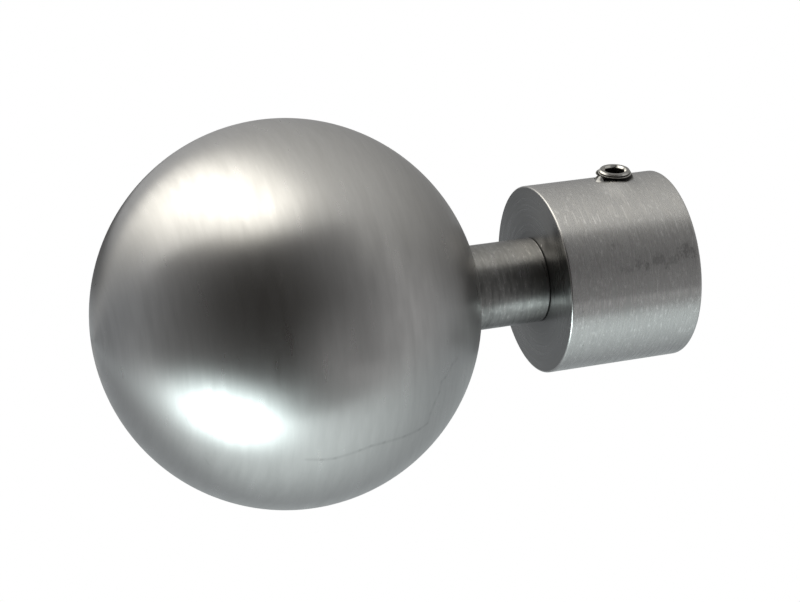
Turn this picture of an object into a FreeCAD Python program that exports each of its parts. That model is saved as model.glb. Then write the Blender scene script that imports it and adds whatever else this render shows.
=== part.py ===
import FreeCAD, Part

import math
import os

# A ball finial for the end of a round curtain pole. One countersunk screw runs from inside the
# socket cap, through the turned neck and into a bush that is welded in the hollow ball, and it
# holds the three together. The cap slides over the pole's end, and a grub screw in its side
# clamps the pole.
# Millimetres. The origin is where the pole's axis meets the floor of the socket, +X points out of
# the socket's mouth, and +Z points up along the grub screw.

# The pole, and the cap that takes it
pole_diameter = 25.0
pole_play = 0.4  # on the diameter, so that the cap slides on by hand
socket_depth = 17.75
cap_wall = 2.3
cap_floor_thickness = 4.5
cap_edge_radius = 0.25
mouth_chamfer = 0.5

# The neck
neck_diameter = 13.5
neck_length = 12.0  # along its outside, from the ball to the cap
neck_chamfer = 0.25

# The ball, and the bush welded in it
ball_diameter = 60.0
ball_wall = 1.2
bush_diameter = 10.0
bush_length = 12.0
bush_collar_diameter = 15.0
bush_collar_thickness = 2.0
bush_chamfer = 0.5

# The countersunk screw, 25 mm long in all
screw_diameter = 6.0
screw_in_bush = 8.95
screw_head_diameter = 12.0
screw_head_rim = 0.3
screw_key = 4.0
screw_key_depth = 2.5
screw_tip_chamfer = 0.6
screw_hole_play = 0.4  # on the diameter of the plain holes that the screw passes
countersink_diameter = 12.8  # wider than the head, which sinks just below the socket's floor
countersink_angle = 90.0

# The grub screw, backed out until its tip is just clear of the socket
grub_diameter = 6.0
grub_length = 4.0
grub_land_diameter = 5.0
grub_key = 3.0
grub_key_depth = 1.5
grub_key_turn = 5.0  # degrees from +X to a corner of the key
grub_cup_diameter = 3.0
grub_tip_clearance = 0.05
grub_from_mouth = 7.95

# Shared by both screws
thread_play = 0.06  # on the diameter, between a screw and its tapped hole
drill_point_angle = 118.0
cutter_overrun = 1.0  # how far a cutter starts outside the metal

# Radii
socket_radius = (pole_diameter + pole_play) / 2
cap_radius = socket_radius + cap_wall
neck_radius = neck_diameter / 2
ball_radius = ball_diameter / 2
ball_inner_radius = ball_radius - ball_wall
bush_radius = bush_diameter / 2
collar_radius = bush_collar_diameter / 2
screw_radius = screw_diameter / 2
screw_head_radius = screw_head_diameter / 2
screw_hole_radius = screw_radius + screw_hole_play / 2
countersink_radius = countersink_diameter / 2
bush_thread_radius = screw_radius + thread_play / 2
grub_radius = grub_diameter / 2
grub_hole_radius = grub_radius + thread_play / 2

# Places along the pole's axis
cap_face_x = -cap_floor_thickness
ball_seat_x = cap_face_x - neck_length
ball_centre_x = ball_seat_x - math.sqrt(ball_radius**2 - neck_radius**2)
bush_face_x = ball_centre_x + math.sqrt(ball_radius**2 - bush_radius**2)
bush_end_x = bush_face_x - bush_length
grub_x = socket_depth - grub_from_mouth

X = FreeCAD.Vector(1, 0, 0)
Y = FreeCAD.Vector(0, 1, 0)
Z = FreeCAD.Vector(0, 0, 1)


def point(x, radius):
    """A point of a turned piece's profile, which is drawn in the XZ plane."""
    return FreeCAD.Vector(x, 0, radius)


def lines(*places):
    """Straight edges of a profile, from each place to the next."""
    points = [point(*place) for place in places]
    return [
        Part.LineSegment(start, end).toShape()
        for start, end in zip(points, points[1:])
    ]


def arc(centre, radius, first_angle, last_angle):
    """An arc of a profile, with its angles in degrees from +X towards +Z."""
    centre_x, centre_z = centre
    middle_angle = (first_angle + last_angle) / 2
    points = []
    for angle in (first_angle, middle_angle, last_angle):
        turn = math.radians(angle)
        x = centre_x + radius * math.cos(turn)
        points.append(point(x, centre_z + radius * math.sin(turn)))
    return Part.Arc(*points).toShape()


def sphere_place(sphere_radius, distance_from_axis):
    """Where a sphere about the ball's centre has that distance from the axis, on the cap's side."""
    x = ball_centre_x + math.sqrt(sphere_radius**2 - distance_from_axis**2)
    return (x, distance_from_axis)


def sphere_angle(sphere_radius, distance_from_axis):
    """The same place as an angle from +X."""
    return math.degrees(math.asin(distance_from_axis / sphere_radius))


def revolved(edges, centre=FreeCAD.Vector(0, 0, 0), axis=X):
    """A piece as it comes off the lathe: its half profile turned about its axis."""
    wire = Part.Wire(Part.__sortEdges__(edges))
    return Part.Face(wire).revolve(centre, axis, 360)


def cone_depth(radius, full_angle):
    """How deep a cone of that angle goes before it comes to its point."""
    return radius / math.tan(math.radians(full_angle / 2))


def key_socket(across_flats, depth, mouth, inwards, to_a_corner):
    """The cutter for a hexagonal key socket, with the drill point at its bottom."""
    corner_radius = across_flats / math.sqrt(3)
    start = mouth - inwards * cutter_overrun
    corners = []
    for n in range(7):
        corner = FreeCAD.Rotation(inwards, 60 * n).multVec(to_a_corner)
        corners.append(start + corner * corner_radius)
    hexagon = Part.Face(Part.makePolygon(corners))
    prism = hexagon.extrude(inwards * (depth + cutter_overrun))
    drill_radius = across_flats / 2
    point_depth = cone_depth(drill_radius, drill_point_angle)
    drill_point = Part.makeCone(
        drill_radius, 0, point_depth, mouth + inwards * depth, inwards
    )
    return prism.fuse(drill_point)


def ball_shell():
    """Two pressed halves, welded and ground into one hollow ball, with a hole for the bush."""
    inside = arc(
        (ball_centre_x, 0),
        ball_inner_radius,
        sphere_angle(ball_inner_radius, bush_radius),
        180,
    )
    outside = arc(
        (ball_centre_x, 0),
        ball_radius,
        sphere_angle(ball_radius, bush_radius),
        180,
    )
    hole = lines(
        sphere_place(ball_inner_radius, bush_radius),
        sphere_place(ball_radius, bush_radius),
    )
    wall_on_axis = lines(
        (ball_centre_x - ball_inner_radius, 0),
        (ball_centre_x - ball_radius, 0),
    )
    return revolved([inside, outside] + hole + wall_on_axis)


def threaded_bush():
    """Turned from bar and tapped. Its collar bears on the inside of the ball."""
    inner_wall_place = sphere_place(ball_inner_radius, bush_radius)
    collar_rim_x = sphere_place(ball_inner_radius, collar_radius)[0]
    collar_back_x = collar_rim_x - bush_collar_thickness
    collar_bearing = arc(
        (ball_centre_x, 0),
        ball_inner_radius,
        sphere_angle(ball_inner_radius, bush_radius),
        sphere_angle(ball_inner_radius, collar_radius),
    )
    rest = lines(
        (collar_rim_x, collar_radius),
        (collar_back_x, collar_radius),
        (collar_back_x, bush_radius),
        (bush_end_x + bush_chamfer, bush_radius),
        (bush_end_x, bush_radius - bush_chamfer),
        (bush_end_x, bush_thread_radius),
        (bush_face_x, bush_thread_radius),
        (bush_face_x, bush_radius),
        inner_wall_place,
    )
    return revolved([collar_bearing] + rest)


def neck():
    """Turned from bar, bored for the screw, and dished at one end to sit on the ball."""
    dish = arc(
        (ball_centre_x, 0),
        ball_radius,
        sphere_angle(ball_radius, screw_hole_radius),
        sphere_angle(ball_radius, neck_radius),
    )
    rest = lines(
        (ball_seat_x, neck_radius),
        (cap_face_x - neck_chamfer, neck_radius),
        (cap_face_x, neck_radius - neck_chamfer),
        (cap_face_x, screw_hole_radius),
        sphere_place(ball_radius, screw_hole_radius),
    )
    return revolved([dish] + rest)


def pole_cap():
    """Turned from bar: bored for the pole, countersunk in its floor and tapped in its side."""
    edge = cap_edge_radius
    countersink_depth = cone_depth(
        countersink_radius - screw_hole_radius, countersink_angle
    )
    front_edge = arc((cap_face_x + edge, cap_radius - edge), edge, 180, 90)
    mouth_edge = arc((socket_depth - edge, cap_radius - edge), edge, 90, 0)
    side = lines((cap_face_x + edge, cap_radius), (socket_depth - edge, cap_radius))
    rest = lines(
        (socket_depth, cap_radius - edge),
        (socket_depth, socket_radius + mouth_chamfer),
        (socket_depth - mouth_chamfer, socket_radius),
        (0, socket_radius),
        (0, countersink_radius),
        (-countersink_depth, screw_hole_radius),
        (cap_face_x, screw_hole_radius),
        (cap_face_x, cap_radius - edge),
    )
    blank = revolved([front_edge, mouth_edge] + side + rest)
    tapped_hole = Part.makeCylinder(
        grub_hole_radius, cap_radius + cutter_overrun, FreeCAD.Vector(grub_x, 0, 0), Z
    )
    return blank.cut(tapped_hole)


def assembly_screw():
    """Countersunk screw with a key socket. Its head lies in the socket's floor."""
    head_cone_x = -cone_depth(countersink_radius - screw_head_radius, countersink_angle)
    head_top_x = head_cone_x + screw_head_rim
    shank_x = head_cone_x - cone_depth(
        screw_head_radius - screw_radius, countersink_angle
    )
    tip_x = bush_face_x - screw_in_bush
    outline = lines(
        (head_top_x, 0),
        (head_top_x, screw_head_radius),
        (head_cone_x, screw_head_radius),
        (shank_x, screw_radius),
        (tip_x + screw_tip_chamfer, screw_radius),
        (tip_x, screw_radius - screw_tip_chamfer),
        (tip_x, 0),
        (head_top_x, 0),
    )
    print("assembly screw's length", round(head_top_x - tip_x, 2))
    socket = key_socket(
        screw_key, screw_key_depth, FreeCAD.Vector(head_top_x, 0, 0), -X, Y
    )
    return revolved(outline).cut(socket)


def grub_screw():
    """Headless screw with a key socket in its outer end and a cup point towards the pole."""
    tip = socket_radius + grub_tip_clearance
    top = tip + grub_length
    land_radius = grub_land_diameter / 2
    cup_radius = grub_cup_diameter / 2
    outline = [
        (0, tip + cone_depth(cup_radius, drill_point_angle)),
        (cup_radius, tip),
        (grub_radius, tip + (grub_radius - cup_radius) / 2),
        (grub_radius, top - (grub_radius - land_radius)),
        (land_radius, top),
        (0, top),
    ]
    places = [(grub_x + radius, height) for radius, height in outline]
    middle = FreeCAD.Vector(grub_x, 0, 0)
    blank = revolved(lines(*places, places[0]), middle, Z)
    print("grub screw stands proud by", round(top - cap_radius, 2))
    to_a_corner = FreeCAD.Rotation(Z, grub_key_turn).multVec(X)
    socket = key_socket(grub_key, grub_key_depth, middle + Z * top, -Z, to_a_corner)
    return blank.cut(socket)


os.makedirs("parts", exist_ok=True)
for make in (ball_shell, threaded_bush, neck, pole_cap, assembly_screw, grub_screw):
    piece = make().Solids[0]
    print(make.__name__, "valid", piece.isValid(), "mm3", round(piece.Volume, 1))
    piece.exportStep(f"parts/{make.__name__}.step")
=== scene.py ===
import math

import bpy
from mathutils import Euler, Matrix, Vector


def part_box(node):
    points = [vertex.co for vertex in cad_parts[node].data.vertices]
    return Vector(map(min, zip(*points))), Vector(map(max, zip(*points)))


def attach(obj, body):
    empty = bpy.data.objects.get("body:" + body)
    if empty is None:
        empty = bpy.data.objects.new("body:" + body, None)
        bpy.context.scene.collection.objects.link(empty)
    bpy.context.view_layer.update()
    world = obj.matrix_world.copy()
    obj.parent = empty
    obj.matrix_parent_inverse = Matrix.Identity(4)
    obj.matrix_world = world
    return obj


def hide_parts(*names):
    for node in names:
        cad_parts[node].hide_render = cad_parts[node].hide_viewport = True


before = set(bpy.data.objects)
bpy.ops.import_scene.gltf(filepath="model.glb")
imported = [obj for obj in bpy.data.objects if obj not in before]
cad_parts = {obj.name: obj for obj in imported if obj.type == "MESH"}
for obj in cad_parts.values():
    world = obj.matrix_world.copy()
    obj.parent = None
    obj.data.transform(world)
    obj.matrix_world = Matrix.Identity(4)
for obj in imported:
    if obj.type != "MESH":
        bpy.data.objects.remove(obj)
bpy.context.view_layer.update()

# The ball: two pressed halves of stainless steel, welded into one, ground flush and brushed while
# it turned, so that its grain runs in rings round the axis. It has a few light scratches.

MM = 0.001  # sizes are in millimetres here, and in metres in Blender
merge_distance = 1e-4 * MM
sharp_edge = math.radians(28)  # an edge that bends more than this isn't shaded smooth
lathe_segments = 192


def put(tree, kind, inputs=None, **settings):
    """One node with its settings, and its inputs by name or number, as values or links."""
    node = tree.nodes.new(kind)
    for name, value in settings.items():
        setattr(node, name, value)
    for key, value in (inputs or {}).items():
        if isinstance(value, bpy.types.NodeSocket):
            tree.links.new(value, node.inputs[key])
        else:
            node.inputs[key].default_value = value
    return node


def sum_of(tree, operation, *values):
    """The result of one step of arithmetic on numbers or on other nodes' results."""
    return put(tree, "ShaderNodeMath", dict(enumerate(values)), operation=operation).outputs[0]


def vector_of(tree, operation, *values, output="Vector"):
    """The same for vectors."""
    node = put(tree, "ShaderNodeVectorMath", dict(enumerate(values)), operation=operation)
    return node.outputs[output]


def new_group(name, kind, takes, gives):
    """An empty node group with named inputs and outputs, and its two end nodes."""
    tree = bpy.data.node_groups.new(name, kind)
    for words, socket in takes.items():
        tree.interface.new_socket(words, in_out="INPUT", socket_type="NodeSocket" + socket)
    for words, socket in gives.items():
        tree.interface.new_socket(words, in_out="OUTPUT", socket_type="NodeSocket" + socket)
    start = tree.nodes.new("NodeGroupInput")
    end = tree.nodes.new("NodeGroupOutput")
    return tree, start.outputs, end.inputs


def set_inputs(tree, node, inputs):
    """Gives a node group's inputs their values or links, by name."""
    for words, value in inputs.items():
        if isinstance(value, bpy.types.NodeSocket):
            tree.links.new(value, node.inputs[words])
        else:
            node.inputs[words].default_value = value


def add_group(tree, group, inputs):
    """A node group placed in a material, with its inputs set. Gives its outputs."""
    node = tree.nodes.new("ShaderNodeGroup")
    node.node_tree = group
    set_inputs(tree, node, inputs)
    return node.outputs


def lathe_tree():
    """Turns a half profile about X. Rows of the profile may be cut as a thread or a hexagon."""
    takes = {
        "Profile": "Geometry",
        "Segments": "Int",
        "Pitch": "Float",
        "Thread depth": "Float",
        "Crest radius": "Float",
        "Thread start": "Float",
        "Hexagon turn": "Float",
        "Turn": "Vector",
        "Place": "Vector",
        "Finish": "Material",
        "Face finish": "Material",
    }
    tree, given, result = new_group("lathe", "GeometryNodeTree", takes, {"Mesh": "Geometry"})
    profile = given["Profile"]
    size = put(tree, "GeometryNodeAttributeDomainSize", {0: profile}, component="MESH")
    rows = size.outputs["Point Count"]
    columns = sum_of(tree, "ADD", given["Segments"], 1)
    grid = put(tree, "GeometryNodeMeshGrid", {"Vertices X": columns, "Vertices Y": rows})
    index = put(tree, "GeometryNodeInputIndex").outputs[0]
    row = sum_of(tree, "MODULO", index, rows)
    column = sum_of(tree, "FLOOR", sum_of(tree, "DIVIDE", sum_of(tree, "ADD", index, 0.5), rows))
    share = sum_of(tree, "DIVIDE", column, given["Segments"])
    angle = sum_of(tree, "MULTIPLY", share, math.tau)

    def sampled(field, kind, at=row):
        settings = {"data_type": kind, "domain": "POINT", "clamp": True}
        inputs = {"Geometry": profile, "Value": field, "Index": at}
        return put(tree, "GeometryNodeSampleIndex", inputs, **settings).outputs[0]

    def cut(name, at=row):
        field = put(tree, "GeometryNodeInputNamedAttribute", {"Name": name}, data_type="FLOAT")
        return sampled(field.outputs["Attribute"], "FLOAT", at)

    position = put(tree, "GeometryNodeInputPosition").outputs[0]
    placed = put(tree, "ShaderNodeSeparateXYZ", {0: sampled(position, "FLOAT_VECTOR")}).outputs
    along = placed["X"]
    radius = placed["Y"]

    # A metric thread is flat over a quarter of its pitch in the groove and an eighth on the crest
    flat_in_groove = 0.25
    flat_on_crest = 0.125
    turns = sum_of(tree, "SUBTRACT", sum_of(tree, "DIVIDE", along, given["Pitch"]), share)
    wave = sum_of(tree, "FRACT", sum_of(tree, "ADD", turns, given["Thread start"]))
    from_root = sum_of(tree, "ABSOLUTE", sum_of(tree, "MULTIPLY_ADD", wave, 2.0, -1.0))
    flank = {"Value": from_root, "From Min": flat_in_groove, "From Max": 1 - flat_on_crest}
    height = put(tree, "ShaderNodeMapRange", flank).outputs["Result"]
    sunk = sum_of(tree, "MULTIPLY", sum_of(tree, "SUBTRACT", height, 1.0), given["Thread depth"])
    threaded = sum_of(tree, "ADD", given["Crest radius"], sunk)
    on_screw = sum_of(tree, "SUBTRACT", sum_of(tree, "MINIMUM", radius, threaded), radius)
    in_hole = sum_of(tree, "SUBTRACT", sum_of(tree, "MAXIMUM", radius, threaded), radius)

    sixth = math.radians(60)
    from_corner = sum_of(tree, "SUBTRACT", sum_of(tree, "ADD", angle, sixth), given["Hexagon turn"])
    within = sum_of(tree, "SUBTRACT", sum_of(tree, "MODULO", from_corner, sixth), sixth / 2)
    flat = sum_of(tree, "DIVIDE", math.cos(sixth / 2), sum_of(tree, "COSINE", within))
    to_flat = sum_of(tree, "MULTIPLY", radius, sum_of(tree, "SUBTRACT", flat, 1.0))
    for name, change in (("thread", on_screw), ("tapped", in_hole), ("hexagon", to_flat)):
        radius = sum_of(tree, "MULTIPLY_ADD", cut(name), change, radius)

    turned = {
        "X": along,
        "Y": sum_of(tree, "MULTIPLY", radius, sum_of(tree, "COSINE", angle)),
        "Z": sum_of(tree, "MULTIPLY", radius, sum_of(tree, "SINE", angle)),
    }
    place = put(tree, "ShaderNodeCombineXYZ", turned).outputs[0]
    mesh = put(tree, "GeometryNodeSetPosition", {0: grid.outputs["Mesh"], "Position": place})
    unwrapped = {0: mesh.outputs[0], "Name": "UVMap", "Value": grid.outputs["UV Map"]}
    settings = {"data_type": "FLOAT2", "domain": "CORNER"}
    mesh = put(tree, "GeometryNodeStoreNamedAttribute", unwrapped, **settings)
    strip = sum_of(tree, "MODULO", index, sum_of(tree, "SUBTRACT", rows, 1))
    on_face = cut("face", sum_of(tree, "ADD", strip, 1))
    faced = {0: mesh.outputs[0], "Name": "faced", "Value": on_face}
    settings = {"data_type": "FLOAT", "domain": "FACE"}
    mesh = put(tree, "GeometryNodeStoreNamedAttribute", faced, **settings)
    merged = {0: mesh.outputs[0], "Distance": merge_distance}
    mesh = put(tree, "GeometryNodeMergeByDistance", merged)
    mesh = put(tree, "GeometryNodeSetShadeSmooth", {0: mesh.outputs[0], "Shade Smooth": True})
    bend = put(tree, "GeometryNodeInputMeshEdgeAngle").outputs["Unsigned Angle"]
    corner = sum_of(tree, "GREATER_THAN", bend, sharp_edge)
    sharp = {0: mesh.outputs[0], "Selection": corner, "Shade Smooth": False}
    mesh = put(tree, "GeometryNodeSetShadeSmooth", sharp, domain="EDGE")
    moved = {0: mesh.outputs[0], "Translation": given["Place"], "Rotation": given["Turn"]}
    mesh = put(tree, "GeometryNodeTransform", moved)
    mesh = put(tree, "GeometryNodeRealizeInstances", {0: mesh.outputs[0]})
    mesh = put(tree, "GeometryNodeSetMaterial", {0: mesh.outputs[0], "Material": given["Finish"]})
    faced = put(tree, "GeometryNodeInputNamedAttribute", {"Name": "faced"}, data_type="FLOAT")
    faces = {
        0: mesh.outputs[0],
        "Selection": sum_of(tree, "GREATER_THAN", faced.outputs["Attribute"], 0.5),
        "Material": given["Face finish"],
    }
    mesh = put(tree, "GeometryNodeSetMaterial", faces)
    tree.links.new(mesh.outputs[0], result["Mesh"])
    return tree


lathe = lathe_tree()


def turned_mesh(name, profile, finish, face_finish, **sizes):
    """A piece as it comes off the lathe, from rows of place, radius and cut in millimetres.

    The strip up to a row that is cut as a face has the face's finish.
    """
    mesh = bpy.data.meshes.new(name)
    points = [(along * MM, radius * MM, 0) for along, radius, cut in profile]
    mesh.from_pydata(points, [(n, n + 1) for n in range(len(points) - 1)], [])
    for word in ("face", "thread", "tapped", "hexagon"):
        layer = mesh.attributes.new(word, "FLOAT", "POINT")
        layer.data.foreach_set("value", [float(cut == word) for along, radius, cut in profile])
    blank = bpy.data.objects.new(name, mesh)
    bpy.context.scene.collection.objects.link(blank)
    modifier = blank.modifiers.new("lathe", "NODES")
    modifier.node_group = lathe
    values = {
        "Segments": lathe_segments,
        "Pitch": MM,
        "Thread depth": 0.0,
        "Crest radius": 0.0,
        "Thread start": 0.0,
        "Hexagon turn": 0.0,
        "Turn": (0.0, 0.0, 0.0),
        "Place": (0.0, 0.0, 0.0),
        "Finish": finish,
        "Face finish": face_finish,
    }
    values.update({word.replace("_", " ").capitalize(): value for word, value in sizes.items()})
    for socket in lathe.interface.items_tree:
        if socket.name in values:
            modifier[socket.identifier] = values[socket.name]
    graph = bpy.context.evaluated_depsgraph_get()
    made = bpy.data.meshes.new_from_object(blank.evaluated_get(graph), depsgraph=graph)
    bpy.data.objects.remove(blank)
    bpy.data.meshes.remove(mesh)
    made.name = name
    return made


def add_piece(name, mesh, body, node):
    """The finished piece, which rides on its body and stands for its node."""
    piece = bpy.data.objects.new(name, mesh)
    bpy.context.scene.collection.objects.link(piece)
    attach(piece, body)
    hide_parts(node)


def box_mm(node):
    """A node's lowest and highest corners in millimetres."""
    low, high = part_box(node)
    return Vector(low) / MM, Vector(high) / MM


def arc(centre_x, centre_r, radius, first, last, steps, cut=""):
    """Rows of a profile along an arc, with its angles in degrees from +X."""
    rows = []
    for n in range(steps + 1):
        turn = math.radians(first + (last - first) * n / steps)
        x = centre_x + radius * math.cos(turn)
        rows.append((x, max(centre_r + radius * math.sin(turn), 0.0), cut))
    return rows


def grain_group():
    """Brush grain: fine lines across one coordinate that run on round the piece."""
    takes = {"Across": "Float", "Around": "Vector", "Lines": "Float", "Length": "Float"}
    gives = {"Height": "Float", "Streak": "Float", "Glint": "Float"}
    tree, given, result = new_group("brush_grain", "ShaderNodeTree", takes, gives)
    around = put(tree, "ShaderNodeSeparateXYZ", {0: given["Around"]}).outputs

    def lines(coarser, longer, detail, shift):
        across = sum_of(tree, "MULTIPLY", given["Across"], given["Lines"])
        across = sum_of(tree, "MULTIPLY_ADD", across, 1 / coarser, shift)
        length = sum_of(tree, "MULTIPLY", given["Length"], longer)
        vector = {
            "X": across,
            "Y": sum_of(tree, "DIVIDE", around["Y"], length),
            "Z": sum_of(tree, "DIVIDE", around["Z"], length),
        }
        place = put(tree, "ShaderNodeCombineXYZ", vector).outputs[0]
        noise = {"Vector": place, "Scale": 1.0, "Detail": detail, "Roughness": 0.6}
        return put(tree, "ShaderNodeTexNoise", noise).outputs["Fac"]

    fine = lines(coarser=1.0, longer=1.0, detail=2.0, shift=0.0)
    broad = lines(coarser=5.0, longer=3.0, detail=2.0, shift=40.0)
    height = sum_of(tree, "MULTIPLY_ADD", broad, 2.0, fine)
    streak = lines(coarser=1.6, longer=1.5, detail=3.0, shift=80.0)
    glint = lines(coarser=1.0, longer=0.3, detail=0.0, shift=160.0)
    tree.links.new(height, result["Height"])
    tree.links.new(streak, result["Streak"])
    tree.links.new(glint, result["Glint"])
    return tree


grain = grain_group()


def scratch_group():
    """How much of a fine scratch lies at a place, from 0 to 1. Both its ends are given."""
    takes = {"Place": "Vector", "From": "Vector", "To": "Vector", "Width": "Float"}
    tree, given, result = new_group("scratch", "ShaderNodeTree", takes, {"Mask": "Float"})
    way = vector_of(tree, "SUBTRACT", given["To"], given["From"])
    off = vector_of(tree, "SUBTRACT", given["Place"], given["From"])
    along = vector_of(tree, "DOT_PRODUCT", off, way, output="Value")
    length = vector_of(tree, "DOT_PRODUCT", way, way, output="Value")
    share = put(tree, "ShaderNodeClamp", {0: sum_of(tree, "DIVIDE", along, length)}).outputs[0]
    nearest = put(tree, "ShaderNodeVectorMath", {0: way, "Scale": share}, operation="SCALE")
    beside = vector_of(tree, "DISTANCE", off, nearest.outputs[0], output="Value")
    edge = {"Value": beside, "From Max": given["Width"], "To Min": 1.0, "To Max": 0.0}
    mask = put(tree, "ShaderNodeMapRange", edge, interpolation_type="SMOOTHSTEP")
    tree.links.new(mask.outputs["Result"], result["Mask"])
    return tree


scratch = scratch_group()
smudge_width = 0.6  # a mark of this width is a smudge, and its edge is ragged
smudge_stray = 2.0
smudge_grain = 1.8
along_the_rings = 0.25  # of a turn, from the tangent to the brush lines


def brushed_steel(name, ring, colour, marks=(), **look):
    """Steel brushed in rings. The function ring works out the coordinate across the grain."""
    values = {
        "roughness": 0.3,
        "anisotropy": 0.7,
        "lines": 3.0,  # to the millimetre
        "length": 3.0,  # of one line, in millimetres
        "groove": 0.012,  # how deep the lines are, in millimetres
        "contrast": 0.06,
        "uneven": 0.2,
        "glints": 0.0,
    }
    values.update(look)
    material = bpy.data.materials.new(name)
    material.use_nodes = True
    tree = material.node_tree
    shader = tree.nodes["Principled BSDF"]
    texture = put(tree, "ShaderNodeTexCoord").outputs["Object"]
    place = put(tree, "ShaderNodeVectorMath", {0: texture, "Scale": 1 / MM}, operation="SCALE")
    place = place.outputs["Vector"]
    inputs = {"Across": ring(tree, place), "Around": place}
    inputs.update({"Lines": values["lines"], "Length": values["length"]})
    brushed = add_group(tree, grain, inputs)

    def by_streak(low, high, streak=brushed["Streak"], first=0.3, last=0.7):
        span = {"Value": streak, "From Min": first, "From Max": last, "To Min": low, "To Max": high}
        return put(tree, "ShaderNodeMapRange", span).outputs["Result"]

    spread = values["uneven"]
    rough = by_streak(values["roughness"] * (1 - spread), values["roughness"] * (1 + spread))
    shade = by_streak(1 + values["contrast"], 1 - values["contrast"])
    glint = by_streak(0.0, values["glints"], brushed["Glint"], first=0.62, last=0.8)
    shade = sum_of(tree, "MULTIPLY", shade, sum_of(tree, "ADD", glint, 1.0))
    noise = {"Vector": place, "Scale": smudge_grain, "Detail": 2.0}
    wobble = put(tree, "ShaderNodeTexNoise", noise).outputs["Color"]
    wobble = vector_of(tree, "SUBTRACT", wobble, (0.5, 0.5, 0.5))
    stray = put(tree, "ShaderNodeVectorMath", {0: wobble, "Scale": smudge_stray}, operation="SCALE")
    ragged = vector_of(tree, "ADD", place, stray.outputs["Vector"])
    for start, end, width, change in marks:
        at = ragged if width == smudge_width else place
        inputs = {"Place": at, "From": start, "To": end, "Width": width}
        mask = add_group(tree, scratch, inputs)["Mask"]
        shade = sum_of(tree, "MULTIPLY", shade, sum_of(tree, "MULTIPLY_ADD", mask, change, 1.0))
    tint = vector_of(tree, "MULTIPLY", shade, colour)
    bump = {"Height": brushed["Height"], "Strength": 1.0, "Distance": values["groove"] * MM}
    bump = put(tree, "ShaderNodeBump", bump).outputs["Normal"]
    tangent = put(tree, "ShaderNodeTangent", direction_type="RADIAL", axis="X").outputs[0]
    inputs = {
        "Base Color": tint,
        "Metallic": 1.0,
        "Roughness": rough,
        "Normal": bump,
        "Tangent": tangent,
        "Anisotropic": values["anisotropy"],
        "Anisotropic Rotation": along_the_rings,
    }
    set_inputs(tree, shader, inputs)
    return material


def line_of(places, width, change):
    """The marks along a bent line, from each place to the next, and how they change its shade."""
    return [(start, end, width, change) for start, end in zip(places, places[1:])]


low, high = box_mm("ball_shell")
ball_radius = (high.z - low.z) / 2
ball_centre = low.x + ball_radius
ball_wall = 1.2
bush_radius = 5.0
steel_colour = (0.6, 0.59, 0.58)
turned_colour = (0.5, 0.5, 0.5)


def ring_on_ball(tree, place):
    """How far a place is from the ball's pole, along the ball."""
    x = put(tree, "ShaderNodeSeparateXYZ", {0: place}).outputs["X"]
    share = sum_of(tree, "DIVIDE", sum_of(tree, "SUBTRACT", x, ball_centre), ball_radius)
    return sum_of(tree, "MULTIPLY", sum_of(tree, "ARCCOSINE", share), ball_radius)


def ring_on_side(tree, place):
    """How far along the axis a place is."""
    return put(tree, "ShaderNodeSeparateXYZ", {0: place}).outputs["X"]


def ring_on_face(tree, place):
    """How far from the axis a place is."""
    flat = vector_of(tree, "MULTIPLY", place, (0, 1, 1))
    return vector_of(tree, "LENGTH", flat, output="Value")


def on_ball(y, z, side=1):
    """The place on the ball's skin with that Y and Z, on its cap side or, with -1, the other."""
    return (ball_centre + side * math.sqrt(ball_radius**2 - y * y - z * z), y, z)


# Marks: a bent hairline low on the ball with a kink at its end, a long pale line and a rub
hairline = [on_ball(-26.2, -13.5, -1), on_ball(-26.4, -13.85, -1), on_ball(-26.55, -13.89, -1)]
hairline += [on_ball(-26.86, -13.15), on_ball(-26.84, -12.77), on_ball(-26.46, -12.71)]
hairline += [on_ball(-25.39, -12.71), on_ball(-24.31, -12.44), on_ball(-23.76, -11.92)]
kink = [on_ball(-23.76, -11.92), on_ball(-24.39, -10.18), on_ball(-24.65, -8.62)]
kink += [on_ball(-24.64, -7.04), on_ball(-24.9, -5.37), on_ball(-24.45, -4.93)]
kink += [on_ball(-23.68, -3.37), on_ball(-22.84, -2.87)]
pale_line = [on_ball(-11.7, 26.8, -1), on_ball(-19.0, 22.3, -1), on_ball(-25.3, 14.2, -1)]
pale_line += [on_ball(-28.8, 3.5, -1)]
rub = [on_ball(-19.9, -6.8, -1), on_ball(-18.6, -14.9, -1)]
marks = line_of(hairline, width=0.5, change=-0.12) + line_of(kink, width=0.5, change=-0.08)
marks += line_of(pale_line, width=0.3, change=0.06) + line_of(rub, width=0.3, change=-0.08)
look = {"lines": 1.0, "length": 6.0, "groove": 0.002, "contrast": 0.06, "uneven": 0.1}
ball_steel = brushed_steel("brushed_ball", ring_on_ball, steel_colour, marks, **look)
turned_steel = brushed_steel("turned_steel", ring_on_face, turned_colour, roughness=0.35)

inner_radius = ball_radius - ball_wall
hole_outside = math.degrees(math.asin(bush_radius / ball_radius))
hole_inside = math.degrees(math.asin(bush_radius / inner_radius))
profile = arc(ball_centre, 0, ball_radius, 180, hole_outside, steps=96)
profile += arc(ball_centre, 0, inner_radius, hole_inside, 180, steps=48, cut="face")
mesh = turned_mesh("ball", profile, ball_steel, turned_steel)
add_piece("ball", mesh, "finial", "ball_shell")

# The bush: turned from bar and tapped M6, and welded in the ball, because the ball's wall is too
# thin for a thread. Its collar bears on the inside of the wall.

thread_depth = 0.613
bush_crest_radius = 3.03
bush_thread_margin = 0.3  # plain, at each end of the thread
bush_chamfer = 0.5
collar_radius = 7.5
collar_thickness = 2.0
thread_rows = 12  # to the millimetre
thread_segments = 60

low, high = box_mm("threaded_bush")
collar_rim = ball_centre + math.sqrt(inner_radius**2 - collar_radius**2)
collar_back = collar_rim - collar_thickness
tapped_radius = bush_crest_radius - thread_depth


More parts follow.
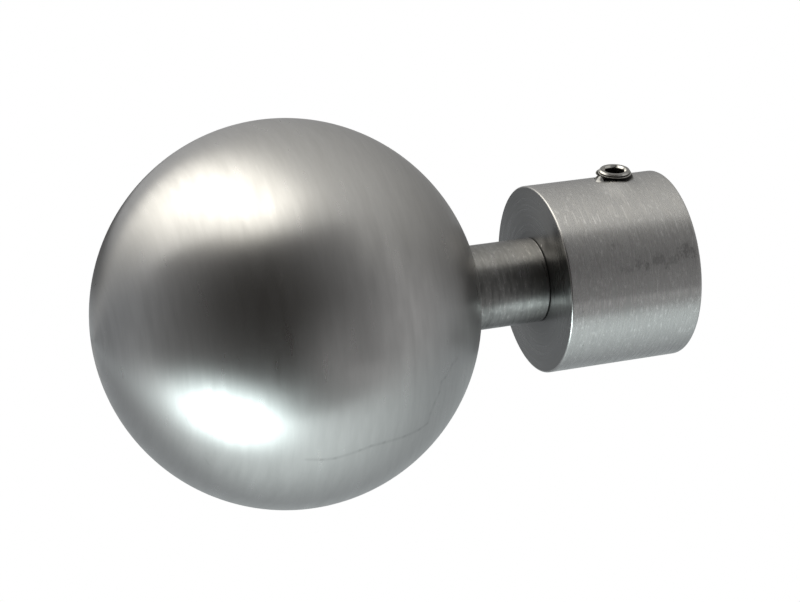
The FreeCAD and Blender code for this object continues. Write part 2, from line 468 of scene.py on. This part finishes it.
def steps_between(first, last, radius, cut, per_mm):
    """Rows of a straight stretch, close enough together to be cut as a thread."""
    count = max(1, round(abs(last - first) * per_mm))
    return [(first + (last - first) * n / count, radius, cut) for n in range(count + 1)]


thread_first = high.x - bush_thread_margin
thread_last = low.x + bush_thread_margin
profile = [(low.x, bush_radius - bush_chamfer, "face"), (low.x + bush_chamfer, bush_radius, "")]
profile += [(collar_back, bush_radius, ""), (collar_back, collar_radius, "face")]
profile += [(collar_rim, collar_radius, "")]
collar_angle = math.degrees(math.asin(collar_radius / inner_radius))
profile += arc(ball_centre, 0, inner_radius, collar_angle, hole_inside, steps=4)
profile += [(high.x, bush_radius, ""), (high.x, bush_crest_radius, "face")]
profile += steps_between(thread_first, thread_last, tapped_radius, "tapped", per_mm=thread_rows)
profile += [(low.x, bush_crest_radius, ""), (low.x, bush_radius - bush_chamfer, "face")]
sizes = {"segments": thread_segments, "thread_depth": thread_depth * MM}
sizes["crest_radius"] = bush_crest_radius * MM
mesh = turned_mesh("bush", profile, turned_steel, turned_steel, **sizes)
add_piece("bush", mesh, "finial", "threaded_bush")

# The neck: turned from bar, bored for the screw, and dished at one end to sit on the ball. Its side
# is brushed in rings, and a fine groove turned in its end shows as a dark line along the cap.

neck_edge_radius = 0.08
groove_width = 0.12
groove_depth = 0.65
screw_hole_radius = 3.2
highlight_from_cap = 0.28  # the painted highlight line's distance from the cap
# The neck's steel is painted darker: a painted shade, where the ball and the cap keep light off it
shaded_neck_colour = (0.302, 0.297, 0.291)

low, high = box_mm("neck")
neck_radius = (high.z - low.z) / 2
cap_face = high.x


def on_side(radius, x, y, side=1):
    """The place on a turned side with that X and Y, above the axis or, with -1, below it."""
    return (x, y, side * math.sqrt(radius**2 - y * y))


# Painted light on the neck: a painted highlight line along the edge by the cap, a painted highlight
# low on the near side and a painted shade along the underside
highlight_x = cap_face - highlight_from_cap
edge_highlight = [on_side(neck_radius, highlight_x, y) for y in (-0.6, -2.3, -3.6, -4.6)]
low_highlight = [on_side(neck_radius, x, -6.55, -1) for x in (-13.0, -7.5)]
underside_shade = [on_side(neck_radius, x, -4.2, -1) for x in (-16.0, -6.0)]
marks = line_of(edge_highlight, width=0.14, change=0.5)
marks += line_of(low_highlight, width=1.7, change=0.35)
marks += line_of(underside_shade, width=2.4, change=-0.25)
look = {"lines": 3.2, "length": 2.5, "groove": 0.012, "contrast": 0.2, "uneven": 0.35}
look.update({"glints": 0.3, "roughness": 0.35, "anisotropy": 0.85})
neck_steel = brushed_steel("brushed_neck", ring_on_side, shaded_neck_colour, marks, **look)
dish_first = math.degrees(math.asin(screw_hole_radius / ball_radius))
dish_last = math.degrees(math.asin(neck_radius / ball_radius))
profile = arc(ball_centre, 0, ball_radius, dish_first, dish_last, steps=6, cut="face")
shoulder = cap_face - groove_width
edge_x = shoulder - neck_edge_radius
groove_bottom = neck_radius - groove_depth
profile += arc(edge_x, neck_radius - neck_edge_radius, neck_edge_radius, 90, 0, steps=6)
profile += [(shoulder, groove_bottom, ""), (cap_face, groove_bottom, "")]
profile += [(cap_face, screw_hole_radius, "face"), profile[0]]
mesh = turned_mesh("neck", profile, neck_steel, turned_steel)
add_piece("neck_spacer", mesh, "finial", "neck")

# The cap: turned from bar, bored for the pole, countersunk in its floor for the screw, and tapped
# M6 in its side. The side is brushed in rings, and the faces are left as the lathe made them.

socket_radius = 12.7
edge_radius = 0.25
mouth_chamfer = 0.5
countersink_radius = 6.4
cap_face_colour = (0.335, 0.331, 0.327)
glint_width = 0.14
hole_radius = 3.12
hole_thread_depth = 0.3
hole_aside = 0.4  # away from the camera
plain_above_bore = 0.3
thread_above_bore = 0.35
thread_below_skin = 0.3
tool_overrun = 1.0  # how far the tap starts and ends outside the metal
swelling_height = 0.5
swelling_reach = 4.4
swelling_aside = 1.0  # from the hole's axis, towards the burr
burr_radius = 1.15
burr_height = 0.95
burr_rim = 0.3  # upright, below its round top
burr_rows = 12
burr_aside = 2.85  # from the hole's axis
burr_y = -0.7
burr_foot = 0.35  # how far below the skin it starts
skin_play = 0.01  # a point this near to the side counts as on it

low, high = box_mm("pole_cap")
cap_radius = high.y
mouth = high.x
grub_low, grub_high = box_mm("grub_screw")
grub_x = (grub_low.x + grub_high.x) / 2

# Smudges along the side that faces the camera: their X, Y, length and change of shade
smudges = [
    (3.3, -13.0, 0.3, -0.22),
    (3.8, -12.8, 0.3, -0.22),
    (4.2, -14.35, 0.1, -0.25),
    (5.0, -14.4, 0.1, -0.22),
    (5.8, -14.42, 0.1, -0.25),
    (7.0, -14.35, 0.3, -0.28),
    (7.5, -14.2, 0.2, -0.22),
    (8.6, -14.42, 0.2, -0.4),
    (10.0, -14.3, 0.3, -0.25),
    (10.5, -14.2, 0.3, -0.22),
    (11.2, -14.3, 0.35, -0.28),
    (11.9, -14.45, 0.15, -0.32),
    (12.7, -14.35, 0.2, -0.26),
    (13.4, -14.3, 0.2, -0.24),
    (14.3, -14.2, 0.4, -0.3),
    (15.3, -14.1, 0.7, -0.34),
    (15.9, -13.9, 0.5, -0.28),
    (16.6, -14.1, 0.3, -0.3),
]
# Painted glints: short bright streaks along the grain in the highlight above them: X, the Y of both
# ends and the change
glint_streaks = [
    (1.7, -9.1, -10.2, 0.4),
    (2.6, -8.7, -9.9, 0.3),
    (7.15, -7.9, -9.9, 0.35),
    (-1.2, -7.9, -9.7, 0.25),
    (0.1, -7.7, -9.9, 0.25),
    (4.8, -8.0, -10.1, 0.25),
    (-2.8, -8.7, -9.9, 0.25),
    (10.8, -8.2, -9.7, 0.2),
    (12.9, -8.1, -9.6, 0.2),
    (2.7, -5.5, -7.2, 0.15),
]
marks = []
for x, y, length, change in smudges:
    places = [on_side(cap_radius, x, y), on_side(cap_radius, x, y + length)]
    marks += line_of(places, smudge_width, change)
for x, first, last, change in glint_streaks:
    places = [on_side(cap_radius, x, first), on_side(cap_radius, x, last)]
    marks += line_of(places, glint_width, change)
# Two pits below and two nicks on top
for x, y in ((-2.7, -14.94), (-1.9, -13.0)):
    places = [on_side(cap_radius, x, y, -1), on_side(cap_radius, x + 0.1, y, -1)]
    marks += line_of(places, width=0.2, change=-0.3)
for x, y in ((9.1, -6.7), (8.5, -5.1)):
    places = [on_side(cap_radius, x, y), on_side(cap_radius, x, y + 0.2)]
    marks += line_of(places, width=0.2, change=-0.15)
look = {"lines": 3.4, "length": 3.0, "contrast": 0.09, "uneven": 0.3, "glints": 0.22}
look.update({"groove": 0.014, "roughness": 0.27, "anisotropy": 0.84})
side_steel = brushed_steel("brushed_side", ring_on_side, steel_colour, marks, **look)
# On the face, soft painted dark reflections beside the neck, a painted highlight on one nick and a
# painted shade round the neck
marks = line_of([(low.x, -5.5, 7.2), (low.x, -10.5, 7.4)], width=2.2, change=-0.7)
marks += line_of([(low.x, -9.4, 9.4), (low.x, -12.0, 6.9)], width=2.8, change=-0.6)
marks += line_of([(low.x, -8.0, 0.1), (low.x, -13.0, 1.2)], width=1.7, change=-0.55)
marks += line_of([(low.x, -3.3, 6.4), (low.x, -3.3, 6.6)], width=0.22, change=3.0)
marks += line_of([(low.x, 0, 0), (low.x + 0.1, 0, 0)], width=12.5, change=-0.8)
look = {"anisotropy": 0.6, "length": 6.0, "groove": 0.006, "contrast": 0.05}
face_steel = brushed_steel("turned_face", ring_on_face, cap_face_colour, marks, **look)

front_x = low.x + edge_radius
back_x = mouth - edge_radius
edge_height = cap_radius - edge_radius
bore_x = mouth - mouth_chamfer
profile = [(low.x, screw_hole_radius, ""), (low.x, edge_height, "face")]
profile += arc(front_x, edge_height, edge_radius, 180, 90, steps=6)[1:]
profile += steps_between(front_x, back_x, cap_radius, "", per_mm=2.5)[1:]
profile += arc(back_x, edge_height, edge_radius, 90, 0, steps=6)[1:]
profile += [(mouth, socket_radius + mouth_chamfer, "face"), (bore_x, socket_radius, "face")]
profile += steps_between(bore_x, 0, socket_radius, "face", per_mm=1.5)[1:]
profile += [(0, countersink_radius, "face")]
profile += [(screw_hole_radius - countersink_radius, screw_hole_radius, "face")]
profile += [(low.x, screw_hole_radius, "face")]
cap_mesh = turned_mesh("cap", profile, side_steel, face_steel)

# Tapping the side left a swelling and a burr at the edge of the hole
swelling = Vector((grub_x - swelling_aside, hole_aside - hole_radius))
for vertex in cap_mesh.vertices:
    across = vertex.co.yz.length
    off = (vertex.co.xy / MM - swelling).length / swelling_reach
    if vertex.co.z > 0 and across > (cap_radius - skin_play) * MM and off < 1:
        height = swelling_height * (0.5 + 0.5 * math.cos(math.pi * off))
        vertex.co.yz *= 1 + height * MM / across
upright = Euler((math.radians(90), math.radians(-90), 0))
profile = [(0, 0, ""), (0, burr_radius, "")]
for n in range(1, burr_rows + 1):
    share = n / burr_rows
    height = burr_height * (0.5 - 0.5 * math.cos(math.pi * share))
    profile.append((burr_rim + height, burr_radius * (1 - share), ""))
burr_place = Vector((grub_x - burr_aside, burr_y, cap_radius - burr_foot)) * MM
sizes = {"segments": 48, "turn": upright, "place": burr_place}
burr_mesh = turned_mesh("burr", profile, face_steel, face_steel, **sizes)
tool_low = socket_radius - tool_overrun
tool_high = cap_radius + tool_overrun
plain_high = socket_radius + plain_above_bore
thread_low = socket_radius + thread_above_bore
thread_high = cap_radius - thread_below_skin
tap_radius = hole_radius + hole_thread_depth
profile = [(tool_low, 0, ""), (tool_low, hole_radius, ""), (plain_high, hole_radius, "")]
profile += steps_between(thread_low, thread_high, tap_radius, "thread", per_mm=24)
profile += [(thread_high, hole_radius, ""), (tool_high, hole_radius, ""), (tool_high, 0, "")]
sizes = {"segments": 96, "thread_depth": hole_thread_depth * MM, "crest_radius": tap_radius * MM}
sizes.update({"turn": upright, "place": (grub_x * MM, hole_aside * MM, 0)})
tap_mesh = turned_mesh("tap", profile, face_steel, face_steel, **sizes)


def cut_or_joined(mesh, other, operation):
    """The mesh with another one cut from it or joined to it."""
    piece = bpy.data.objects.new("blank", mesh)
    tool = bpy.data.objects.new("tool", other)
    for thing in (piece, tool):
        bpy.context.scene.collection.objects.link(thing)
    modifier = piece.modifiers.new("cut", "BOOLEAN")
    modifier.object = tool
    modifier.solver = "EXACT"
    modifier.operation = operation
    graph = bpy.context.evaluated_depsgraph_get()
    result = bpy.data.meshes.new_from_object(piece.evaluated_get(graph), depsgraph=graph)
    bpy.data.objects.remove(piece)
    bpy.data.objects.remove(tool)
    return result


mesh = cut_or_joined(cap_mesh, burr_mesh, "UNION")
mesh = cut_or_joined(mesh, tap_mesh, "DIFFERENCE")
mesh.set_sharp_from_angle(angle=sharp_edge)
add_piece("cap", mesh, "finial", "pole_cap")

# The assembly screw: a countersunk M6 screw of plated steel with a hexagon socket. It draws the
# cap, the neck and the ball together, and its head lies in the floor of the cap's socket.

screw_radius = 3.0
head_radius = 6.0
head_rim = 0.3
key = 4.0
key_depth = 2.5
tip_chamfer = 0.6
thread_runout = 0.6  # from the cap's face to the end of the thread
drill_half_angle = math.radians(59)
flaw_height = 0.02
# How much darker and how much rougher the plate is made where it is darkened
darkening_amount = 0.94
darkened_roughness = 0.4


def hexagon_corner(across_flats):
    """How far a hexagon's corners are from its middle."""
    return across_flats / 2 / math.cos(math.radians(30))


def drill_point(radius):
    """How deep the cone is that a drill of that radius leaves."""
    return radius / math.tan(drill_half_angle)


def plated_screw(name, colour, roughness, darkening=None):
    """Bright plated steel with faint flaws. An optional function works out where the plate is made
    darker.
    """
    material = bpy.data.materials.new(name)
    material.use_nodes = True
    tree = material.node_tree
    shader = tree.nodes["Principled BSDF"]
    texture = put(tree, "ShaderNodeTexCoord").outputs["Object"]
    place = put(tree, "ShaderNodeVectorMath", {0: texture, "Scale": 1 / MM}, operation="SCALE")
    place = place.outputs["Vector"]
    noise = put(tree, "ShaderNodeTexNoise", {"Vector": place, "Scale": 0.9, "Detail": 3.0})
    noise = noise.outputs["Fac"]
    spread = {"Value": noise, "To Min": roughness * 0.6, "To Max": roughness * 1.4}
    rough = put(tree, "ShaderNodeMapRange", spread).outputs["Result"]
    shade = put(tree, "ShaderNodeMapRange", {"Value": noise, "To Min": 0.8, "To Max": 1.2})
    shade = shade.outputs["Result"]
    if darkening:
        darker = darkening(tree, place)
        kept = sum_of(tree, "MULTIPLY_ADD", darker, -darkening_amount, 1.0)
        shade = sum_of(tree, "MULTIPLY", shade, kept)
        rough = sum_of(tree, "MULTIPLY_ADD", darker, darkened_roughness, rough)
    bump = put(tree, "ShaderNodeBump", {"Height": noise, "Distance": flaw_height * MM})
    inputs = {
        "Base Color": vector_of(tree, "MULTIPLY", shade, colour),
        "Metallic": 1.0,
        "Roughness": rough,
        "Normal": bump.outputs["Normal"],
    }
    set_inputs(tree, shader, inputs)
    return material


nickel_colour = (0.82, 0.8, 0.76)
nickel = plated_screw("nickel_plate", nickel_colour, roughness=0.2)
low, high = box_mm("assembly_screw")
head_cone = high.x - head_rim
shank = head_cone - (head_radius - screw_radius)
key_corner = hexagon_corner(key)
key_floor = high.x - key_depth
tip_x = low.x + tip_chamfer
profile = [(low.x, 0, ""), (low.x, screw_radius - tip_chamfer, "thread")]
profile += steps_between(tip_x, cap_face, screw_radius, "thread", per_mm=thread_rows)
profile += [(cap_face + thread_runout, screw_radius, ""), (shank, screw_radius, "")]
profile += [(head_cone, head_radius, ""), (high.x, head_radius, "")]
profile += [(high.x, key_corner, "hexagon"), (key_floor, key_corner, "hexagon")]
profile += [(key_floor, key / 2, ""), (key_floor - drill_point(key / 2), 0, "")]
sizes = {"segments": thread_segments, "thread_depth": thread_depth * MM}
sizes["crest_radius"] = screw_radius * MM
mesh = turned_mesh("assembly_screw", profile, nickel, nickel, **sizes)
add_piece("countersunk_screw", mesh, "finial", "assembly_screw")

# The grub screw: a headless M6 screw of plated steel with a hexagon socket, in the cap's side. It
# clamps the pole. It is backed out, so its end stands proud of the cap, and leans a little in its
# worn hole. Its plate is made darker in its key, in the groove below its end and in its thread.

grub_radius = (grub_high.x - grub_low.x) / 2
grub_key = 3.0
grub_key_depth = 1.5
grub_key_turn = 5.0
key_mouth_radius = 1.85
key_mouth_depth = 0.35
cup_radius = 1.5
grub_thread_start = 0.044
grub_drop = 0.15  # how much lower it stands than its solid
grub_lean = math.radians(7.5)
lean_height = 14.0  # where the leaning screw's axis meets the hole's
worn_end = 0.75  # the length of the end without a thread

# The worn end's rings: how far below the screw's top they are, and their radius
end_rings = [(0.68, 2.32), (0.56, 2.66), (0.5, 2.66), (0.4, 2.32), (0.3, 2.32), (0.25, 2.5)]
end_rings += [(0, 2.32)]
# Where the plate is made darker, in the key socket, in the groove below the end and in the thread:
# between which distances from the axis it thins out, how dark it is at both, and at which depths it
# sets in
darkened_places = [
    ((2.0, 2.3), (1.0, 0.0), (0.3, 0.45)),
    ((2.45, 2.7), (0.9, 0.0), (0.26, 0.3)),
    ((2.75, 3.0), (1.0, 0.6), (0.56, 0.64)),
]

tip = grub_low.z
top = grub_high.z - grub_drop
tip_shoulder = tip + (grub_radius - cup_radius) / 2
lean = Euler((grub_lean, 0, 0)).to_matrix()
screw_axis = lean @ Vector((0, 0, 1))
screw_foot = Vector((grub_x, hole_aside + lean_height * math.sin(grub_lean), 0))


def grub_darkening(tree, place):
    """How much darker the plate is made at a place of the grub screw, from 0 to 1."""
    off = vector_of(tree, "SUBTRACT", place, screw_foot)
    along = vector_of(tree, "DOT_PRODUCT", off, screw_axis, output="Value")
    across = vector_of(tree, "CROSS_PRODUCT", off, screw_axis)
    from_axis = vector_of(tree, "LENGTH", across, output="Value")
    depth = sum_of(tree, "SUBTRACT", top, along)

    def between(value, span, amounts):
        inputs = {"Value": value, "From Min": span[0], "From Max": span[1]}
        inputs.update({"To Min": amounts[0], "To Max": amounts[1]})
        return put(tree, "ShaderNodeMapRange", inputs).outputs["Result"]

    darkest = 0.0
    for distances, amounts, depths in darkened_places:
        here = between(from_axis, distances, amounts)
        here = sum_of(tree, "MULTIPLY", here, between(depth, depths, (0.0, 1.0)))
        darkest = sum_of(tree, "MAXIMUM", darkest, here)
    return darkest


def slope_between(first, last, steps, cut):
    """Rows of a sloping stretch between two places and radii, without its first row."""
    rows = []
    for n in range(1, steps + 1):
        along, radius = (a + (b - a) * n / steps for a, b in zip(first, last))
        rows.append((along, radius, cut))
    return rows


# The screw's top land has a darker, rougher plate than the rest
land_colour = (0.4, 0.39, 0.37)
darkened_nickel = plated_screw("dirty_nickel_plate", nickel_colour, roughness=0.2, darkening=grub_darkening)
land_nickel = plated_screw("worn_nickel_plate", land_colour, roughness=0.3, darkening=grub_darkening)
grub_corner = hexagon_corner(grub_key)
key_floor = top - grub_key_depth
profile = [(tip + drill_point(cup_radius), 0, ""), (tip, cup_radius, "")]
profile += slope_between((tip, cup_radius), (tip_shoulder, grub_radius), steps=8, cut="thread")
profile += steps_between(tip_shoulder, top - worn_end, grub_radius, "thread", per_mm=32)[1:]
profile += [(top - below, radius, "") for below, radius in end_rings]
profile += [(top, key_mouth_radius, "face"), (top - key_mouth_depth, grub_corner, "hexagon")]
profile += [(key_floor, grub_corner, "hexagon"), (key_floor, grub_key / 2, "")]
profile += [(key_floor - drill_point(grub_key / 2), 0, "")]
leaning = (lean @ upright.to_matrix()).to_euler()
sizes = {
    "segments": 144,
    "thread_depth": thread_depth * MM,
    "crest_radius": grub_radius * MM,
    "thread_start": grub_thread_start,
    "hexagon_turn": math.radians(grub_key_turn),
    "turn": leaning,
    "place": screw_foot * MM,
}
mesh = turned_mesh("grub_screw", profile, darkened_nickel, land_nickel, **sizes)
add_piece("grub_screw_m6", mesh, "grub_screw", "grub_screw")

# The studio: a pale cloth tent over a white floor. Only the metal sees the tent, and the tent's
# soft panels, some bright and some dark, are what the brushed steel mirrors.

tent_radius = 1.0
floor_height = -1.05
floor_radius = 2.0
floor_colour = (0.9, 0.9, 0.9, 1)
least_ahead = 0.02  # a panel ends where a direction is nearly square to its middle
room_strength = 0.8  # of the white room, on the part
glow_above = (0.58, 0.58, 0.56)
glow_below = (0.8, 0.88, 0.88)
glow_beside = 0.42
glow_fall = -0.33  # of the glow at the sides, from the tent's middle to its +X end


def panel_group():
    """How much of a soft-edged panel of the tent lies in a direction, from 0 to 1."""
    takes = {
        "Direction": "Vector",
        "Middle": "Vector",
        "Right": "Vector",
        "Up": "Vector",
        "Half width": "Float",
        "Half height": "Float",
        "Softness": "Float",
    }
    tree, given, result = new_group("tent_panel", "ShaderNodeTree", takes, {"Mask": "Float"})

    def towards(axis):
        return vector_of(tree, "DOT_PRODUCT", given["Direction"], given[axis], output="Value")

    ahead = towards("Middle")
    mask = sum_of(tree, "GREATER_THAN", ahead, least_ahead)
    for axis, half in (("Right", "Half width"), ("Up", "Half height")):
        off = sum_of(tree, "ABSOLUTE", sum_of(tree, "DIVIDE", towards(axis), ahead))
        spread = sum_of(tree, "MULTIPLY", given["Softness"], 0.5)
        edge = {
            "Value": off,
            "From Min": sum_of(tree, "SUBTRACT", given[half], spread),
            "From Max": sum_of(tree, "ADD", given[half], spread),
            "To Min": 1.0,
            "To Max": 0.0,
        }
        soft = put(tree, "ShaderNodeMapRange", edge, interpolation_type="SMOOTHSTEP")
        mask = sum_of(tree, "MULTIPLY", mask, soft.outputs["Result"])
    tree.links.new(mask, result["Mask"])
    return tree


def panel(azimuth, elevation, roll, half_size, softness, glow):
    """A panel of the tent, with its angles in degrees and its sizes as slopes from the part."""
    turn = Euler((math.radians(roll), math.radians(-elevation), math.radians(azimuth))).to_matrix()
    inputs = {
        "Middle": turn.col[0],
        "Right": turn.col[1],
        "Up": turn.col[2],
        "Half width": half_size[0],
        "Half height": half_size[1],
        "Softness": softness,
    }
    return inputs, glow


def tent_material(panels):
    """The tent's glow: a plain shade by height and side, then each panel laid over it."""
    material = bpy.data.materials.new("tent_cloth")
    material.use_nodes = True
    tree = material.node_tree
    tree.nodes.remove(tree.nodes["Principled BSDF"])
    place = put(tree, "ShaderNodeTexCoord").outputs["Object"]
    direction = vector_of(tree, "NORMALIZE", place)
    axes = put(tree, "ShaderNodeSeparateXYZ", {0: direction}).outputs
    above = sum_of(tree, "MAXIMUM", axes["Z"], 0.0)
    below = sum_of(tree, "MAXIMUM", sum_of(tree, "MULTIPLY", axes["Z"], -1.0), 0.0)
    level = sum_of(tree, "SUBTRACT", 1.0, sum_of(tree, "ABSOLUTE", axes["Z"]))
    beside = sum_of(tree, "MULTIPLY_ADD", axes["X"], glow_fall, glow_beside)
    glow = vector_of(tree, "MULTIPLY", above, glow_above)
    glow = vector_of(tree, "ADD", glow, vector_of(tree, "MULTIPLY", below, glow_below))
    glow = vector_of(tree, "ADD", glow, sum_of(tree, "MULTIPLY", level, beside))
    shape = panel_group()
    for inputs, colour in panels:
        mask = add_group(tree, shape, {"Direction": direction, **inputs})["Mask"]
        settings = {"data_type": "VECTOR", "factor_mode": "UNIFORM"}
        mixed = put(tree, "ShaderNodeMix", {0: mask, 4: glow, 5: colour}, **settings)
        glow = mixed.outputs[1]
    light = put(tree, "ShaderNodeEmission", {"Color": glow, "Strength": 1.0})
    tree.links.new(light.outputs[0], tree.nodes["Material Output"].inputs["Surface"])
    return material


# The panels, in the order in which they are laid. A program fitted their values to the
# photograph's brightness, and they were rounded.
panels = [
    # The dim side of the tent, behind the camera, and the opening in it for the camera
    panel(-117, 10, -6, half_size=(3.8, 1.36), softness=0.05, glow=(0.16, 0.16, 0.16)),
    panel(-113, 17, -140, half_size=(0.72, 0.98), softness=1.4, glow=(0.025, 0.023, 0.021)),
    # A warm window high on the far side, and a cool lamp low on the near side
    panel(139, 55.5, 66, half_size=(1.0, 0.28), softness=0.72, glow=(2.8, 2.73, 2.5)),
    panel(-146.5, -40.5, -19, half_size=(0.32, 0.15), softness=0.73, glow=(6.8, 7.9, 7.9)),
    # Darker cloth low on the far side and under the cap
    panel(134, -15, 59, half_size=(1.0, 0.63), softness=1.1, glow=(0.25, 0.26, 0.27)),
    panel(40, -52, 63, half_size=(0.54, 2.0), softness=1.6, glow=(0.3, 0.32, 0.33)),
    # A thin dark line across the far side, and a pale card and a dark strip on the near side
    panel(63, -15, 8, half_size=(1.7, 0.12), softness=0.05, glow=(0.08, 0.08, 0.08)),
    panel(-47, -3, 17, half_size=(0.77, 0.37), softness=1.1, glow=(0.5, 0.5, 0.5)),
    panel(-61, 23, -2, half_size=(0.22, 0.82), softness=0.05, glow=(0.17, 0.17, 0.17)),
]
bpy.ops.mesh.primitive_uv_sphere_add(segments=96, ring_count=48, radius=tent_radius)
tent = bpy.context.object
tent.name = "tent"
tent.location = (ball_centre * MM, 0, 0)
tent.data.materials.append(tent_material(panels))
tent.visible_camera = False
tent.visible_diffuse = False
tent.visible_shadow = False
tent.visible_transmission = False

floor_white = bpy.data.materials.new("white_floor")
floor_white.use_nodes = True
shader = floor_white.node_tree.nodes["Principled BSDF"]
shader.inputs["Base Color"].default_value = floor_colour
shader.inputs["Roughness"].default_value = 0.9
bpy.ops.mesh.primitive_circle_add(vertices=96, radius=floor_radius, fill_type="NGON")
floor = bpy.context.object
floor.name = "floor"
floor.location = (0, 0, floor_height)
floor.data.materials.append(floor_white)

world = bpy.data.worlds.new("white_room")
bpy.context.scene.world = world
world.use_nodes = True
tree = world.node_tree
rays = put(tree, "ShaderNodeLightPath").outputs
seen = sum_of(tree, "MAXIMUM", rays["Is Camera Ray"], rays["Is Glossy Ray"])
seen = sum_of(tree, "MAXIMUM", seen, rays["Is Transmission Ray"])
strength = put(tree, "ShaderNodeMapRange", {"Value": seen, "To Min": room_strength, "To Max": 1.0})
backdrop = tree.nodes["Background"]
backdrop.inputs["Color"].default_value = (1, 1, 1, 1)
tree.links.new(strength.outputs[0], backdrop.inputs["Strength"])


def add_lamp(name, azimuth, elevation, distance, size, watts, colour):
    """A square lamp that faces the part from that direction."""
    light = bpy.data.lights.new(name, "AREA")
    light.shape = "SQUARE"
    light.size = size
    light.energy = watts
    light.color = colour
    lamp = bpy.data.objects.new(name, light)
    turn = Euler((0, math.radians(-elevation), math.radians(azimuth)))
    place = Vector((distance, 0, 0))
    place.rotate(turn)
    lamp.location = place
    lamp.rotation_mode = "QUATERNION"
    lamp.rotation_quaternion = place.to_track_quat("Z", "Y")
    lamp.visible_camera = False
    lamp.visible_glossy = False
    bpy.context.scene.collection.objects.link(lamp)


look = {"distance": 1.2, "size": 0.8, "watts": 8.0, "colour": (1.0, 0.97, 0.9)}
add_lamp("key_lamp", azimuth=138, elevation=55, **look)
look.update({"watts": 3.0, "colour": (0.86, 1.0, 1.0)})
add_lamp("fill_lamp", azimuth=-60, elevation=50, **look)

# The camera, where the photograph was taken from: a little above the part and to the ball's side.
camera_data = bpy.data.cameras.new("camera")
camera_data.sensor_width = 36.0
camera_data.lens = 96.364
camera = bpy.data.objects.new("camera", camera_data)
camera.location = (-0.13209, -0.30139, 0.10041)
camera.rotation_euler = Euler((math.radians(72.45), math.radians(1.86), math.radians(-19.78)))
bpy.context.scene.collection.objects.link(camera)
bpy.context.scene.camera = camera
bpy.context.scene.view_settings.view_transform = "Standard"
